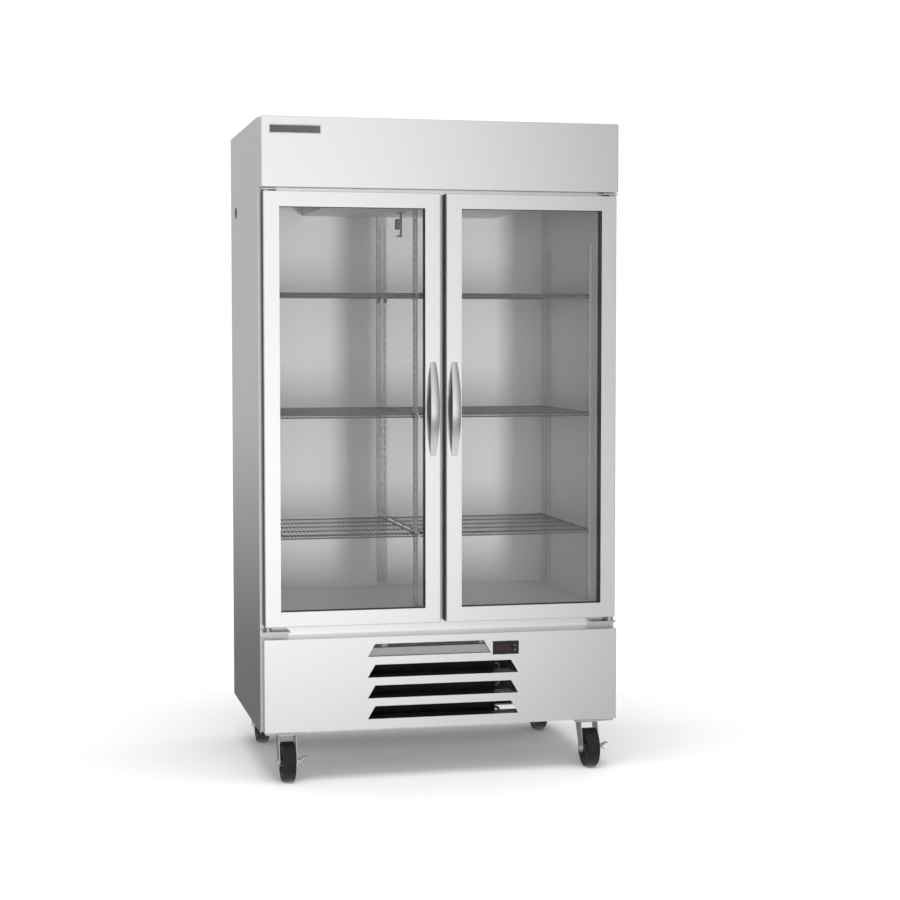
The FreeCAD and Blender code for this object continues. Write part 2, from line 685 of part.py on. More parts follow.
def standard(width, depth, low, high, columns):
    """Slotted hat strip, standing up, its web facing -y and its mounting edges at y = 0."""
    thick = number("standard_sheet")
    slot_wide, slot_tall = 3.2, 12.0
    count = int((high - low - 30) // number("slot_pitch"))
    face = [Part.Wire(Part.makePolygon([FreeCAD.Vector(x, 0, z) for x, z in (
        (-width / 2, low), (width / 2, low), (width / 2, high), (-width / 2, high),
        (-width / 2, low))]))]
    for middle in columns:
        for index in range(count):
            foot = low + 18 + index * number("slot_pitch")
            left, right = middle - slot_wide / 2, middle + slot_wide / 2
            face.append(Part.Wire(Part.makePolygon([FreeCAD.Vector(x, 0, z) for x, z in (
                (left, foot), (left, foot + slot_tall), (right, foot + slot_tall), (right, foot),
                (left, foot))])))
    web = Part.Face(face).extrude(FreeCAD.Vector(0, thick, 0))
    web.translate(FreeCAD.Vector(0, -depth, 0))
    sides = []
    for edge in (-width / 2, width / 2 - thick):
        sides.append(Part.makeBox(thick, depth - thick, high - low,
                                  FreeCAD.Vector(edge, thick - depth, low)))
    return web.fuse(sides).removeSplitter()


def build_standards():
    """Slotted strips: two on each side wall, a twin one on the back wall and a post at the front."""
    width, depth = number("standard_width"), number("standard_depth")
    low, high = number("interior_floor") + 12, number("standard_top")
    strips = []
    for side in (-1, 1):
        for setback in ("standard_front", "standard_back"):
            strip = standard(width, depth, low, high, [0])
            strip.rotate(FreeCAD.Vector(), FreeCAD.Vector(0, 0, 1), -90 * side)
            strip.translate(FreeCAD.Vector(side * number("interior_half"),
                                           number("front") + number(setback), 0))
            strips.append(strip)
    split = number("shelf_split")
    twin_width = number("twin_width")
    twin = standard(twin_width, depth, low, number("evaporator_bottom"), [-twin_width / 4, twin_width / 4])
    twin.translate(FreeCAD.Vector(split, number("interior_back"), 0))
    post = standard(number("post_width"), depth, number("interior_floor"), number("ceiling"), [0])
    post.translate(FreeCAD.Vector(split, number("front") + number("post_front"), 0))
    node("shelf_standards", computed(Part.makeCompound(strips + [twin, post])))


def shelf_edges(side):
    """Low and high x of the shelves on one side of the split."""
    wall_end = number("interior_half") - number("shelf_end")
    split = number("shelf_split")
    gap = number("split_gap")
    return (-wall_end, split - gap) if side < 0 else (split + gap, wall_end)


def wire_shelf(side, top):
    """Close front-to-back wires, turned down at the front, welded on cross rods."""
    low, high = shelf_edges(side)
    thin, thick = number("wire_radius"), number("rod_radius")
    near = number("front") + number("shelf_front")
    far = near + number("shelf_depth")
    lip = number("shelf_lip")
    height = top - thin
    bend = 4.0
    forward = FreeCAD.Vector(0, -1, 0)
    start = FreeCAD.Vector(0, far, height)
    corner = FreeCAD.Vector(0, near + bend, height)
    middle = FreeCAD.Vector(0, near + bend - bend * math.sin(math.pi / 4),
                            height - bend + bend * math.cos(math.pi / 4))
    drop = FreeCAD.Vector(0, near, height - bend)
    foot = FreeCAD.Vector(0, near, top - lip)
    path = Part.Wire([Part.LineSegment(start, corner).toShape(),
                      Part.Arc(corner, middle, drop).toShape(),
                      Part.LineSegment(drop, foot).toShape()])
    section = Part.Wire([Part.Circle(start, forward, thin).toShape()])
    wire = path.makePipeShell([section], True, False)
    rail = number("shelf_rail")
    first = low + rail + 3 * thin
    run = high - low - 2 * (rail + 3 * thin)
    count = int(run // number("wire_pitch"))
    solids = []
    for index in range(count + 1):
        copy = wire.copy()
        copy.translate(FreeCAD.Vector(first + run * index / count, 0, 0))
        solids.append(copy)
    for edge in (low, high - rail):
        solids.append(Part.makeBox(rail, far - near - 16, 2 * thin,
                                   FreeCAD.Vector(edge, near + 16, top - 2 * thin)))
    below = top - 2 * thin - thick
    places = [(near + thin + thick, top - lip + thick), (near + bend, below)]
    places += [(near + 24 + (far - near - 34) * share, below) for share in (0, 0.25, 0.5, 0.75, 1)]
    for y, z in places:
        solids.append(Part.makeCylinder(thick, high - low, FreeCAD.Vector(low, y, z),
                                        FreeCAD.Vector(1, 0, 0)))
    return Part.makeCompound(solids)


def build_shelves():
    """Three shelves each side of the split, and the clips they rest on."""
    clips = []
    names = ("lower", "middle", "upper")
    for level, word in enumerate(names):
        top = number("shelf_low") + level * number("shelf_pitch")
        rest = top - 2 * number("wire_radius") - 2 * number("rod_radius")
        for side, hand in ((-1, "left"), (1, "right")):
            node(f"{word}_{hand}_shelf", computed(wire_shelf(side, top)))
            clips += shelf_clips(side, rest)
    node("shelf_clips", computed(Part.makeCompound(clips)))


def clip(x, y, top, along_x, along_y):
    """Bent support clip: a ledge with a turned-down root."""
    reach, wide, thick, deep = 15.0, 12.0, 2.0, 14.0
    across = FreeCAD.Vector(along_y, along_x, 0)
    across = FreeCAD.Vector(abs(across.x), abs(across.y), 0)
    out = FreeCAD.Vector(along_x, along_y, 0)
    points = []
    for distance, height in ((0, top), (reach, top), (reach, top - thick), (thick, top - thick),
                             (thick, top - deep), (0, top - deep)):
        points.append(FreeCAD.Vector(x, y, height) + out * distance - across * (wide / 2))
    profile = Part.Face(Part.makePolygon(points + [points[0]]))
    return profile.extrude(across * wide)


def shelf_clips(side, rest):
    """The four clips of one shelf: two at the side wall, one at the back wall, one on the post."""
    deep = number("standard_depth")
    wall = side * (number("interior_half") - deep)
    front = number("front")
    split = number("shelf_split")
    made = [clip(wall, front + number(setback), rest, -side, 0)
            for setback in ("standard_front", "standard_back")]
    reach = side * (number("split_gap") + 4)
    made.append(clip(split + reach, number("interior_back") - deep, rest, 0, -1))
    edge = split + side * number("post_width") / 2
    made.append(clip(edge, front + number("post_front") - deep / 2, rest, side, 0))
    return made


# ---------------------------------------------------------------- doors

def door_ring(outer_inset, inner_inset_x, inner_inset_z, side, y):
    """A rectangular ring as deep as y says, set in from the door's outline by the insets."""
    x = span(side, f"door_inner + {outer_inset}", f"door_outer - ({outer_inset})")
    z = (f"door_bottom + {outer_inset}", f"door_top - ({outer_inset})")
    hole_x = span(side, f"door_inner + {inner_inset_x}", f"door_outer - ({inner_inset_x})")
    hole_z = (f"door_bottom + {inner_inset_z}", f"door_top - ({inner_inset_z})")
    outer = block(x, y, z)
    hole = block(hole_x, (f"{y[0]} - 1", f"{y[1]} + 1"), hole_z)
    return cut(outer, hole)


def door_slab(inset_x, inset_z, side, y):
    """A plain slab set in from the door's outline."""
    x = span(side, f"door_inner + {inset_x}", f"door_outer - ({inset_x})")
    return block(x, y, (f"door_bottom + {inset_z}", f"door_top - ({inset_z})"))


def door_face(side):
    """Polished sheet face with its edges turned back."""
    outer = soften(door_slab("0", "0", side, ("front", "front + face_return + 2 * bend")),
                   SIZES["bend"], "xyz")
    trim = door_slab("-1", "-1", side, ("front + face_return", "front + face_return + 3 * bend"))
    hollow = door_slab("sheet", "sheet", side, ("front + sheet", "front + face_return + 3 * bend"))
    window = door_slab("stile", "rail", side, ("front - 1", "front + 2 * sheet"))
    return cut(cut(cut(outer, hollow), trim), window)


def door_core(side):
    """Dark thermal-break frame that holds both panes, with the hinge pin bores at its outer side."""
    lapped = door_slab("sheet + 0.1", "sheet + 0.1", side, ("front + sheet", "front + face_return"))
    full = door_slab("0", "0", side, ("front + face_return", "front + door_body"))
    window = door_slab("stile", "rail", side, ("front - 1", "front + door_body + 1"))
    frame = cut(fuse(lapped, full), window)
    for start in ("front + pane_setback", "front + pane_setback + pane + pane_gap"):
        seat = door_slab("stile - pane_bite", "rail - pane_bite", side, (start, f"{start} + pane"))
        frame = cut(frame, seat)
    x = span(side, "hinge_x", "hinge_x")[0]
    low = rod("z", x, "hinge_y", "door_bottom - 1", "pin_radius + running_fit", "pin_bite + 3")
    high = rod("z", x, "hinge_y", "door_top - pin_bite - 2", "pin_radius + running_fit",
               "pin_bite + 3")
    return cut(frame, low, high)


def door_glass(side):
    """The outer and inner panes of the sealed unit."""
    panes = []
    for start in ("front + pane_setback", "front + pane_setback + pane + pane_gap"):
        panes.append(door_slab("stile - pane_bite", "rail - pane_bite", side,
                               (start, f"{start} + pane")))
    return group(*panes)


def door_handle(side):
    """Bowed strap, wider in the middle, standing off the stile on its two ends."""
    strap = body("Handle")
    bow = sketch_on(strap, "YZ_Plane")
    half = "handle_length / 2"
    foot = "strap"
    outer_bow = "(handle_length * handle_length / 4 + handle_reach * handle_reach) / (2 * handle_reach)"
    inner_half = f"({half} - 4 * strap)"
    inner_rise = "(handle_reach - strap)"
    inner_bow = (f"({inner_half} * {inner_half} + {inner_rise} * {inner_rise})"
                 f" / (2 * {inner_rise})")
    outline(bow, [("0", f"-{half}"), ("0", f"-{inner_half}", f"-{inner_bow}"), ("0", inner_half),
                  ("0", half, outer_bow)])
    pad(strap, bow, "handle_width + 6", middle=True)
    waist = sketch_on(strap, "XZ_Plane")
    edge = "handle_width + 8"
    outline(waist, rectangle((f"-{edge}", edge), (f"-{half} - 5", f"{half} + 5")))
    swell = "(handle_width - handle_tip) / 2"
    bulge = f"(handle_length * handle_length / 4 + {swell} * {swell}) / (2 * {swell})"
    outline(waist, [("-handle_tip / 2", f"-{half}"), ("handle_tip / 2", f"-{half}", bulge),
                    ("handle_tip / 2", half), ("-handle_tip / 2", half, bulge)])
    pocket(strap, waist, "4 * handle_reach", middle=True)
    move(strap, span(side, "handle_x", "handle_x")[0], "front", "door_middle")
    return strap


def handle_plate(side):
    """Lens-shaped dark backing behind the middle of the handle."""
    plate = body("Plate")
    lens = sketch_on(plate, "XZ_Plane")
    half = "plate_length / 2"
    side_rise = "plate_width / 2"
    bulge = f"(plate_length * plate_length / 4 + {side_rise} * {side_rise}) / (2 * {side_rise})"
    outline(lens, [("0", f"-{half}", bulge), ("0", half, bulge)])
    pad(plate, lens, "plate_thick")
    move(plate, span(side, "handle_x", "handle_x")[0], "front", "door_middle")
    return plate


def build_door(hand, side):
    """One door: face, core, panes, gasket, handle and handle backing."""
    node(f"{hand}_door_face", door_face(side))
    node(f"{hand}_door_core", door_core(side))
    node(f"{hand}_door_glass", door_glass(side))
    reach = ("front + door_body", "face - gasket_clear")
    inner = "gasket_inset + gasket_width"
    node(f"{hand}_door_gasket", door_ring("gasket_inset", inner, inner, side, reach))
    node(f"{hand}_door_handle", door_handle(side))
    node(f"{hand}_handle_plate", handle_plate(side))


def build_hinges():
    """Top and bottom hinge leaves on the carcass, with the pins that the doors turn on."""
    made = []
    for side in (-1, 1):
        x = span(side, "hinge_x", "hinge_x")[0]
        low_x = span(side, "panel_half - 86", "panel_half - 1")
        leaf_top = "door_bottom - 14"
        leaf = soften(block(low_x, ("front + 4", "face"), (f"{leaf_top} - leaf", leaf_top)), 1.5, "z")
        foot = block(low_x, ("face - 3", "face"), ("panel_top + 2", f"{leaf_top} - leaf"))
        boss = rod("z", x, "hinge_y", leaf_top, "9", "12")
        pin = rod("z", x, "hinge_y", f"{leaf_top} - leaf", "pin_radius", "14 + leaf + pin_bite")
        made.append(fuse(leaf, foot, boss, pin))
        high_x = span(side, "panel_half - 50", "panel_half - 1")
        top_leaf = block(high_x, ("front + 4", "face"), ("door_top + 4", "door_top + 9"))
        tab = block(high_x, ("face - 3", "face"), ("door_top + 1", "door_top + 9"))
        top_pin = rod("z", x, "hinge_y", "door_top - pin_bite", "pin_radius", "pin_bite + 9")
        washer = rod("z", x, "hinge_y", "door_top + 1", "9", "4")
        made.append(fuse(soften(top_leaf, 1.5, "z"), tab, washer, top_pin))
    node("hinge_brackets", group(*made))


# ---------------------------------------------------------------- casters

CASTERS = {
    "front_left": (-1, "front + caster_front", True),
    "front_right": (1, "front + caster_front", True),
    "rear_left": (-1, "back - caster_back", False),
    "rear_right": (1, "back - caster_back", False),
}


def caster_x(side):
    """x of a caster's swivel axis."""
    return span(side, "half_width - caster_inset", "half_width - caster_inset")[0]


def fork(side, y, braked):
    """Pressed fork with its axle bolt; a braked one also has two ears and their pin."""
    shell = body("Fork")
    crown = sketch_on(shell, "XY_Plane", "crown_bottom")
    outline(crown, rectangle(("-fork_half", "fork_half"), ("-34", "30")))
    pad(shell, crown, "fork_drop")
    leg = sketch_on(shell, "YZ_Plane", "fork_inside / 2")
    outline(leg, [("-34", "fork_top"), ("-caster_trail - 24", "wheel_radius", "25"),
                  ("-caster_trail + 24", "wheel_radius"), ("30", "fork_top")])
    plate = pad(shell, leg, "fork_sheet")
    doc.recompute()
    other = shell.newObject("PartDesign::Mirrored", "OtherLeg")
    other.Originals = [plate]
    middle = [item for item in shell.Origin.OriginFeatures if item.Role == "YZ_Plane"][0]
    other.MirrorPlane = (middle, [""])
    shell.Tip = other
    bore = sketch_on(shell, "XY_Plane", "crown_bottom")
    ring(bore, "0", "0", "kingpin_radius + running_fit")
    pocket(shell, bore, "2 * fork_drop", back=True)
    hole = sketch_on(shell, "YZ_Plane")
    ring(hole, "-caster_trail", "wheel_radius", "axle_radius + 0.02")
    pocket(shell, hole, "3 * fork_half", middle=True)
    move(shell, caster_x(side), y)
    x = caster_x(side)
    axle_y = f"{y} - caster_trail"
    head = hexagon("x", f"{x} - fork_half - 6", axle_y, "wheel_radius", "10", "6")
    shaft = rod("x", f"{x} - fork_half - 6", axle_y, "wheel_radius", "axle_radius",
                "2 * fork_half + 10")
    nut = hexagon("x", f"{x} + fork_half", axle_y, "wheel_radius", "9", "4")
    pieces = [fuse(head, shaft, nut)]
    if not braked:
        return group(shell, *pieces)
    pivot = f"{x} + fork_half + brake_reach"
    ears = []
    for end in (f"{axle_y} - brake_width / 2 - 2.4", f"{axle_y} + brake_width / 2 + 0.4"):
        ears.append(block((f"{x} + fork_half", f"{pivot} + 4"), (end, f"{end} + 2"),
                          ("wheel_radius - 4", "wheel_radius + 4")))
    pin = rod("y", pivot, f"{axle_y} - brake_width / 2 - 4", "wheel_radius", "2", "brake_width + 8")
    return group(fuse(shell, *ears, pin), *pieces)


def wheel(side, y):
    """Black tyre on a moulded hub, turning on the axle."""
    tyre = body("Tyre")
    rim = sketch_on(tyre, "XZ_Plane")
    half = "wheel_width / 2"
    inner = "wheel_radius - tyre_wall"
    outline(rim, [(f"-{half}", inner), (half, inner), (half, "wheel_radius - tyre_round", "tyre_round"),
                  (f"{half} - tyre_round", "wheel_radius"),
                  (f"-{half} + tyre_round", "wheel_radius", "tyre_round"),
                  (f"-{half}", "wheel_radius - tyre_round")])
    spin(tyre, rim)
    hub = body("Hub")
    section = sketch_on(hub, "XZ_Plane")
    seat = f"{inner} - 0.02"
    outline(section, [("-hub_width / 2", "axle_radius + running_fit"),
                      ("hub_width / 2", "axle_radius + running_fit"), ("hub_width / 2", "15"),
                      ("7", "17"), ("7", f"{inner} - 8"), (f"{half} - 3", f"{inner} - 6"),
                      (f"{half} - 3", seat), (f"-{half} + 3", seat),
                      (f"-{half} + 3", f"{inner} - 6"), ("-7", f"{inner} - 8"), ("-7", "17"),
                      ("-hub_width / 2", "15")])
    spin(hub, section)
    for piece in (tyre, hub):
        move(piece, caster_x(side), f"{y} - caster_trail", "wheel_radius")
    return group(tyre, hub)


def spin(owner, sketch):
    """Turns a section about the sketch's horizontal axis."""
    turn = owner.newObject("PartDesign::Revolution", "Turn")
    turn.Profile = sketch
    turn.ReferenceAxis = (sketch, ["H_Axis"])
    turn.Angle = 360


def brake_lever(side, y):
    """Two-ended side brake rocker on its pin beside the axle."""
    lever = body("Brake")
    profile = sketch_on(lever, "XZ_Plane")
    outline(profile, [("-3", "-4"), ("2", "-4.5"), ("14", "-11"), ("15.5", "-9"), ("6", "-3"),
                      ("5", "1"), ("12", "8.5"), ("22", "12"), ("22", "14.5"), ("10.5", "11.5"),
                      ("1", "4"), ("-3", "4")])
    pad(lever, profile, "brake_width", middle=True)
    bore = sketch_on(lever, "XZ_Plane")
    ring(bore, "0", "0", "2 + running_fit")
    pocket(lever, bore, "2 * brake_width", middle=True)
    move(lever, f"{caster_x(side)} + fork_half + brake_reach", f"{y} - caster_trail", "wheel_radius")
    return lever


def build_casters():
    """Four swivel casters; the front two have side brakes."""
    plates = []
    for name, (side, y, braked) in CASTERS.items():
        node(f"{name}_caster_fork", fork(side, y, braked))
        node(f"{name}_wheel", wheel(side, y))
        if braked:
            node(f"{name}_brake_lever", brake_lever(side, y))
        x = caster_x(side)
        low = "caster_height - mount_plate"
        top = soften(block((f"{x} - 46", f"{x} + 46"), (f"{y} - 42", f"{y} + 42"),
                           (low, "caster_height")), 6, "z")
        stem = rod("z", x, y, "crown_bottom - 5", "kingpin_radius", f"{low} - crown_bottom + 5")
        button = rod("z", x, y, "crown_bottom - 5", "12", "5 - swivel_gap")
        race = []
        for around_x, around_y in ((-40, -36), (40, -36), (-40, 36), (40, 36)):
            race.append(hexagon("z", f"{x} + {around_x}", f"{y} + {around_y}", f"{low} - 2", "5", "2"))
        plates.append(fuse(top, stem, button))
        plates += race
    node("caster_plates", group(*plates))


def build_trim():
    """Blanking cover of the side port."""
    along, up = port_span()
    plug = block(span(-1, "half_width - 4 * sheet", "half_width"), along, up)
    dish = block(span(-1, "half_width - 2 * sheet", "half_width + sheet"),
                 (f"{along[0]} + 6", f"{along[1]} - 6"), (f"{up[0]} + 9", f"{up[1]} - 9"))
    node("port_cover", cut(plug, dish))


build_carcass()
build_header()
build_lower_panel()
build_controller()
build_base()
build_machine()
build_evaporator()
build_standards()
build_shelves()
build_door("left", -1)
build_door("right", 1)
build_hinges()
build_casters()
build_trim()
doc.recompute()

broken = [item.Name for item in doc.Objects if {"Invalid", "Error"} & set(item.State)]
if broken:
    raise RuntimeError("objects that failed: " + ", ".join(broken))
for name, solid in nodes.items():
    if solid.Shape.isNull() or not solid.Shape.isValid():
        raise RuntimeError("no valid shape: " + name)

os.makedirs("parts", exist_ok=True)
for name, solid in nodes.items():
    solid.Shape.exportStep(f"parts/{name}.step")
print(len(nodes), "sub-parts written")
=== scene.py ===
# %% [markdown]
# # Glass door merchandiser
# This notebook dresses a two-door display refrigerator. Its sheet metal, doors, shelves and casters
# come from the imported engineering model, and stay where they are. What is added here is finish: steel
# with a grain, glass that reflects a little, rubber, zinc and wire. A few pieces are also made again in
# a finer shape: the handles, the name plate, the wheels, the door seals and the condenser.
#
# %% Load the frame
import json
import math

import bpy
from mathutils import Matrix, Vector


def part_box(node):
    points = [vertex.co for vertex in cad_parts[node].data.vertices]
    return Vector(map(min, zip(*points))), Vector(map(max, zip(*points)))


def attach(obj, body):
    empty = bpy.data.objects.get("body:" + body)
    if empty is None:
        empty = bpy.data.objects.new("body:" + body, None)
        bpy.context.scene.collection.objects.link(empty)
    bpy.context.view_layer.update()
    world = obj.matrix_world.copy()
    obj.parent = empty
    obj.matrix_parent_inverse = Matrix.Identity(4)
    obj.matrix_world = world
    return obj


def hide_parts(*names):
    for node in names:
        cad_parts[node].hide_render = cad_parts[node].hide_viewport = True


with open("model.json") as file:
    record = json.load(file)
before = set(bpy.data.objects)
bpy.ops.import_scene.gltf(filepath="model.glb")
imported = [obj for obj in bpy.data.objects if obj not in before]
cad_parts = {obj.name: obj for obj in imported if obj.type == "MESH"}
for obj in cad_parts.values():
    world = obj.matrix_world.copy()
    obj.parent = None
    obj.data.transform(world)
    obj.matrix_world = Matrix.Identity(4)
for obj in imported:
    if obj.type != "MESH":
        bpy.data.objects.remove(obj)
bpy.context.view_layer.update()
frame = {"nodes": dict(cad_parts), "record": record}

bpy.ops.object.select_all(action="DESELECT")

# %% [markdown]
# ## Placing things
# Every position is read from the engineering model. A node's box gives its lowest and highest
# corners, and from those come its middle and its size.
#
# %% Where the nodes are
def middle_of(node):
    """The middle of a node's box."""
    low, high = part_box(node)
    return (Vector(low) + Vector(high)) / 2


def size_of(node):
    """The three sides of a node's box."""
    low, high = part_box(node)
    return Vector(high) - Vector(low)


for node in ("header_panel", "left_door_face", "lower_panel"):
    print(node, [round(side, 3) for side in size_of(node)])

# %% [markdown]
# ## Finishes from nodes
# A finish is a small tree of nodes that ends in one Principled shader. The same few steps come back
# in every finish: a pattern, a range that the pattern is stretched over, and a socket that it drives.
# A few helpers write those steps once. All patterns read Object coordinates, which are real metres,
# so a grain has the same size on every piece.
#
# %% A blank finish
def finish(name, color, metal, rough):
    """A new material with a Principled shader, and its node tree's parts by name."""
    material = bpy.data.materials.new(name)
    material.use_nodes = True
    tree = material.node_tree
    shader = tree.nodes["Principled BSDF"]
    shader.inputs["Base Color"].default_value = (*color, 1)
    shader.inputs["Metallic"].default_value = metal
    shader.inputs["Roughness"].default_value = rough
    place = tree.nodes.new("ShaderNodeTexCoord")
    return {"material": material, "tree": tree, "shader": shader, "place": place.outputs["Object"]}


# %% Patterns
def stretched(kit, scale):
    """Object coordinates, stretched, so that a pattern can have a direction."""
    mapping = kit["tree"].nodes.new("ShaderNodeMapping")
    mapping.inputs["Scale"].default_value = scale
    kit["tree"].links.new(kit["place"], mapping.inputs["Vector"])
    return mapping.outputs["Vector"]


def cloud(kit, scale, detail=3, roughness=0.5, where=None):
    """Noise, from 0 to 1."""
    noise = kit["tree"].nodes.new("ShaderNodeTexNoise")
    noise.inputs["Scale"].default_value = scale
    noise.inputs["Detail"].default_value = detail
    noise.inputs["Roughness"].default_value = roughness
    kit["tree"].links.new(where or kit["place"], noise.inputs["Vector"])
    return noise.outputs["Fac"]


def flakes(kit, scale):
    """Cells of random brightness, from 0 to 1."""
    cells = kit["tree"].nodes.new("ShaderNodeTexVoronoi")
    cells.inputs["Scale"].default_value = scale
    kit["tree"].links.new(kit["place"], cells.inputs["Vector"])
    split = kit["tree"].nodes.new("ShaderNodeSeparateColor")
    kit["tree"].links.new(cells.outputs["Color"], split.inputs["Color"])
    return split.outputs["Red"]


def ranged(kit, value, low, high, start=0.0, stop=1.0):
    """A pattern stretched over another range."""
    step = kit["tree"].nodes.new("ShaderNodeMapRange")
    step.inputs["From Min"].default_value = start
    step.inputs["From Max"].default_value = stop
    step.inputs["To Min"].default_value = low
    step.inputs["To Max"].default_value = high
    kit["tree"].links.new(value, step.inputs["Value"])
    return step.outputs["Result"]


# %% What a pattern drives
def drive(kit, value, socket):
    """Links a pattern to one of the shader's sockets."""
    kit["tree"].links.new(value, kit["shader"].inputs[socket])


def tint(kit, value, dark, light):
    """Colours the surface between two colours."""
    ramp = kit["tree"].nodes.new("ShaderNodeValToRGB")
    ramp.color_ramp.elements[0].color = (*dark, 1)
    ramp.color_ramp.elements[1].color = (*light, 1)
    kit["tree"].links.new(value, ramp.inputs["Fac"])
    drive(kit, ramp.outputs["Color"], "Base Color")


def relief(kit, value, depth, strength):
    """Makes a pattern stand up from the surface by a depth in metres."""
    bump = kit["tree"].nodes.new("ShaderNodeBump")
    bump.inputs["Strength"].default_value = strength
    bump.inputs["Distance"].default_value = depth
    kit["tree"].links.new(value, bump.inputs["Height"])
    drive(kit, bump.outputs["Normal"], "Normal")


# %% Mixtures
# A Mix node has sockets for numbers, vectors and colours. These are the places of those for numbers.
MIX_FIRST = 2
MIX_SECOND = 3
MIX_RESULT = 0


def mixed(kit, first, second, share):
    """Two patterns added in shares."""
    step = kit["tree"].nodes.new("ShaderNodeMix")
    step.inputs["Factor"].default_value = share
    kit["tree"].links.new(first, step.inputs[MIX_FIRST])
    kit["tree"].links.new(second, step.inputs[MIX_SECOND])
    return step.outputs[MIX_RESULT]


# Pointiness is a half on a flat face, and grows where the surface turns outwards.
FLAT = 0.50
SHARP = 0.56


def worn_and_highlit_edges(kit, dark, light):
    """Colours the surface lighter where it turns sharply: partly rubbed wear, partly a painted highlight
    on the corners.
    """
    shape = kit["tree"].nodes.new("ShaderNodeNewGeometry")
    edge = ranged(kit, shape.outputs["Pointiness"], 0, 1, FLAT, SHARP)
    patchy = mixed(kit, edge, cloud(kit, 60), 0.35)
    tint(kit, patchy, dark, light)


# %% [markdown]
# ## Brushed stainless steel
# Stainless sheet is rolled and then sanded in one direction, here upright. The grain is far finer
# than a hand's width, so noise is squeezed hard across and left long upright. It changes the gloss
# more than the colour. A second, large and soft cloud keeps a big panel from looking printed. The
# plates behind the handles lie in shade, so their steel is darker and duller than the rest.
#
# %% Stainless sheet
UPRIGHT_GRAIN = (700, 700, 5)
HANDLE_GRAIN = (900, 60, 900)
SCRATCH_DEPTH = 0.00002


def brushed(name, tone, rough, grain=UPRIGHT_GRAIN):
    """Sanded stainless with a grain."""
    kit = finish(name, (tone, tone, tone), 1, rough)
    lines = cloud(kit, 1.0, 4, 0.6, stretched(kit, grain))
    haze = cloud(kit, 2.2, 2)
    both = mixed(kit, lines, haze, 0.45)
    tint(kit, both, (tone * 0.96,) * 3, (min(tone * 1.03, 1),) * 3)
    drive(kit, ranged(kit, both, rough - 0.02, rough + 0.03), "Roughness")
    relief(kit, lines, SCRATCH_DEPTH, 0.03)
    return kit["material"]


front_steel = brushed("front_steel", tone=0.87, rough=0.26)
# The side panels take the same steel at a darker tone, which is painted shade: the sides look onto a
# darker part of the room.
side_steel_painted_shade = brushed("side_steel_painted_shade", tone=0.62, rough=0.26)
handle_steel = brushed("handle_steel", tone=0.80, rough=0.30, grain=HANDLE_GRAIN)
shaded_steel = brushed("shaded_steel", tone=0.30, rough=0.4)
print(front_steel.name, side_steel_painted_shade.name, handle_steel.name, shaded_steel.name)

# %% [markdown]
# ## Galvanised sheet and liner sheet
# The back, the top and the base are galvanised: zinc that froze in flakes, each with its own shine.
# Voronoi cells with a random brightness are just that. The inside is a plain aluminium sheet with a
# fine pebbled skin, so it gets a low bump and a soft gloss.
#
# %% Galvanised sheet
FLAKES = 90
FLAKE_DEPTH = 0.0001


def galvanised():
    """Zinc in flakes of uneven brightness and gloss."""
    kit = finish("galvanised_sheet", (0.55, 0.57, 0.58), 0.9, 0.5)
    spangle = mixed(kit, flakes(kit, FLAKES), cloud(kit, 9), 0.4)
    tint(kit, spangle, (0.44, 0.46, 0.47), (0.66, 0.68, 0.69))
    drive(kit, ranged(kit, spangle, 0.36, 0.6), "Roughness")
    relief(kit, spangle, FLAKE_DEPTH, 0.2)
    return kit["material"]


galvanised_sheet = galvanised()
print(galvanised_sheet.name)

# %% Liner sheet
PEBBLES = 650
PEBBLE_DEPTH = 0.00015


def pebbled():
    """Pale aluminium with a pebbled skin and soft smudges."""
    kit = finish("liner_sheet", (0.80, 0.80, 0.80), 0.3, 0.5)
    pebbles = cloud(kit, PEBBLES, 2)
    smudges = cloud(kit, 3.5, 3)
    tint(kit, smudges, (0.77, 0.77, 0.77), (0.84, 0.84, 0.84))
    drive(kit, ranged(kit, smudges, 0.48, 0.62), "Roughness")
    relief(kit, pebbles, PEBBLE_DEPTH, 0.3)
    return kit["material"]


liner_sheet = pebbled()
print(liner_sheet.name)

# %% [markdown]
# ## Glass
# A sealed door unit is two clear panes. From the front it is nearly invisible: a slight green-grey
# tint, and a reflection that grows where the glass is seen at a slant. Light has to get in, so the
# shader's alpha does the work: low face on, higher at a slant.
#
# %% Door glass
GLASS_IOR = 1.5
FACE_ON = 0.03
AT_A_SLANT = 0.4


def clear_glass():
    """Dark, thin glass that is seen mostly where it is seen at a slant."""
    kit = finish("door_glass", (0.10, 0.105, 0.104), 0, 0.03)
    slant = kit["tree"].nodes.new("ShaderNodeLayerWeight")
    slant.inputs["Blend"].default_value = 0.25
    wipe_marks = cloud(kit, 5, 4)
    drive(kit, ranged(kit, wipe_marks, 0.02, 0.07), "Roughness")
    drive(kit, ranged(kit, slant.outputs["Fresnel"], FACE_ON, AT_A_SLANT), "Alpha")
    kit["shader"].inputs["IOR"].default_value = GLASS_IOR
    return kit["material"]


door_glass = clear_glass()
print(door_glass.name)

# %% [markdown]
# ## Plastic, rubber and enamel
# Moulded plastic has a fine pebble from its tool, and its corners are coloured lighter: partly rubbed
# wear, partly a painted highlight. Rubber is duller and collects dust in soft patches. Enamel on the
# motors is smooth with an orange-peel ripple. One helper makes all three, with different numbers. The
# screen, the black case and the tyres mirror less than the rest, so that they stay dark in a bright room.
#
# %% Moulded surfaces
GLOSS_SPREAD = 0.08


def moulded(name, dark, light, rough, pebble, depth):
    """Plastic, rubber or enamel: a base, corners lighter from wear and a painted highlight, a pebble and
    uneven gloss.
    """
    kit = finish(name, dark, 0, rough)
    # Corners coloured lighter: rubbed wear, and a painted highlight.
    worn_and_highlit_edges(kit, dark, light)
    gloss = ranged(kit, cloud(kit, 14, 4), rough - GLOSS_SPREAD, rough + GLOSS_SPREAD)
    drive(kit, gloss, "Roughness")
    relief(kit, cloud(kit, pebble, 2), depth, 0.5)
    return kit["material"]


